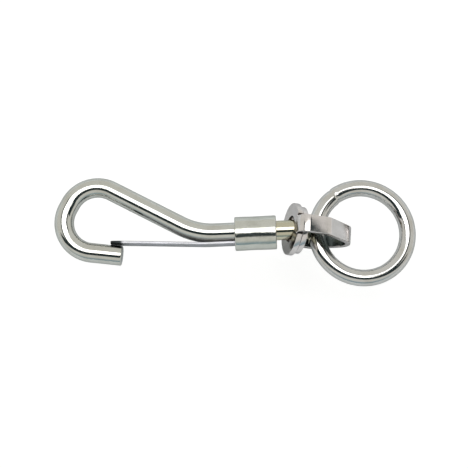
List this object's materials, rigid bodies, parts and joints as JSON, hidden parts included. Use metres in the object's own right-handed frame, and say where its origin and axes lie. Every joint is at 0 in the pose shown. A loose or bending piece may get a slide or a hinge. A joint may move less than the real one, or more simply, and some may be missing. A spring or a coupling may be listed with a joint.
{
  "type": "swivel snap hook",
  "caption": "Wire snap hook closed by a leaf spring gate, with a crimped ferrule, a folded strap swivel eye and a round ring; clips a line or cord to a fitting.",
  "frame": {"origin": "where the line of the straight shank meets the inside of the bow, the seat of a pulled cord", "axes": "+X along the shank from the bow towards the ring, +Y in the hook's plane from the nose side towards the back, +Z square to the hook's plane"},
  "size_m": [0.092, 0.0299, 0.0174],
  "materials": {
    "plated_wire": "bright nickel plate, drawn and bent, fine handling marks",
    "plated_ferrule": "bright nickel plate, turned and crimped",
    "plated_leaf": "bright nickel plate on rolled spring strip",
    "plated_strap": "bright nickel plate on stamped and folded strap",
    "plated_ring": "bright nickel plate, butt welded ring"
  },
  "bodies": {
    "hook": {"hook_wire": "plated_wire", "ferrule": "plated_ferrule", "spring_root": "plated_leaf"},
    "gate": {"spring_leaf": "plated_leaf"},
    "eye": {"swivel_eye": "plated_strap"},
    "ring_body": {"ring": "plated_ring"}
  },
  "joints": [
    {"name": "gate_flex", "type": "hinge", "parent": "hook", "child": "gate", "pos_m": [0.02767, -0.00228, 0], "axis": [0, 0, -1], "range_deg": [0, 22], "stiffness_Nm_per_rad": 1, "springref_deg": -4.58},
    {"name": "swivel_spin", "type": "hinge", "parent": "hook", "child": "eye", "pos_m": [0.05412, 0, 0], "axis": [1, 0, 0], "continuous": true},
    {"name": "ring_swing", "type": "hinge", "parent": "eye", "child": "ring_body", "pos_m": [0.05957, -0.0005, -0.0043], "axis": [-0.0073, 0.9986, -0.0518], "range_deg": [-90, 90]}
  ]
}
